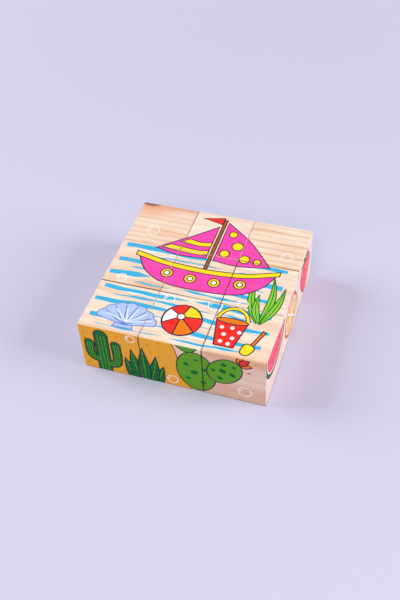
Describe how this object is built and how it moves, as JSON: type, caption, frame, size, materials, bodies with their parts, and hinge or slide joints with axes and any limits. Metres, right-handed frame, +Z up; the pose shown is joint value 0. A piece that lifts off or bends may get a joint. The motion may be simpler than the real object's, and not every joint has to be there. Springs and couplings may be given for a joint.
{
  "type": "picture cube puzzle",
  "caption": "Square picture puzzle of loose pine cube blocks set edge to edge, a piece of a printed picture on every face; blocks lift out or roll over to change the picture.",
  "frame": {"origin": "centre of the set's underside, on the table", "axes": "+X to the right along the front row, +Y to the back, +Z up out of the table"},
  "size_m": [0.0904, 0.0904, 0.03],
  "materials": {
    "pale_pine": "satin",
    "warm_pine": "satin"
  },
  "bodies": {
    "front_left": {"block_front_left": "pale_pine"},
    "front_centre": {"block_front_centre": "pale_pine"},
    "front_right": {"block_front_right": "warm_pine"},
    "middle_left": {"block_middle_left": "warm_pine"},
    "middle_centre": {"block_middle_centre": "pale_pine"},
    "middle_right": {"block_middle_right": "pale_pine"},
    "back_left": {"block_back_left": "warm_pine"},
    "back_centre": {"block_back_centre": "pale_pine"},
    "back_right": {"block_back_right": "pale_pine"}
  },
  "joints": [
    {"name": "roll_front_left", "type": "hinge", "parent": "back_left", "child": "front_left", "pos_m": [-0.0449, -0.0302, 0.0003], "axis": [0, -1, 0], "range_deg": [0, 90]},
    {"name": "roll_front_centre", "type": "hinge", "parent": "back_left", "child": "front_centre", "pos_m": [0, -0.0449, 0.0003], "axis": [1, 0, 0], "range_deg": [0, 90]},
    {"name": "roll_front_right", "type": "hinge", "parent": "back_left", "child": "front_right", "pos_m": [0.0449, -0.0302, 0.0003], "axis": [0, 1, 0], "range_deg": [0, 90]},
    {"name": "roll_middle_left", "type": "hinge", "parent": "back_left", "child": "middle_left", "pos_m": [-0.0449, 0, 0.0003], "axis": [0, -1, 0], "range_deg": [0, 90]},
    {"name": "lift_middle_centre", "type": "slide", "parent": "back_left", "child": "middle_centre", "axis": [0, 0, 1], "range_m": [0, 0.04]},
    {"name": "roll_middle_right", "type": "hinge", "parent": "back_left", "child": "middle_right", "pos_m": [0.0449, 0, 0.0003], "axis": [0, 1, 0], "range_deg": [0, 90]},
    {"name": "roll_back_centre", "type": "hinge", "parent": "back_left", "child": "back_centre", "pos_m": [0, 0.0449, 0.0003], "axis": [-1, 0, 0], "range_deg": [0, 90]},
    {"name": "roll_back_right", "type": "hinge", "parent": "back_left", "child": "back_right", "pos_m": [0.0449, 0.0302, 0.0003], "axis": [0, 1, 0], "range_deg": [0, 90]}
  ]
}
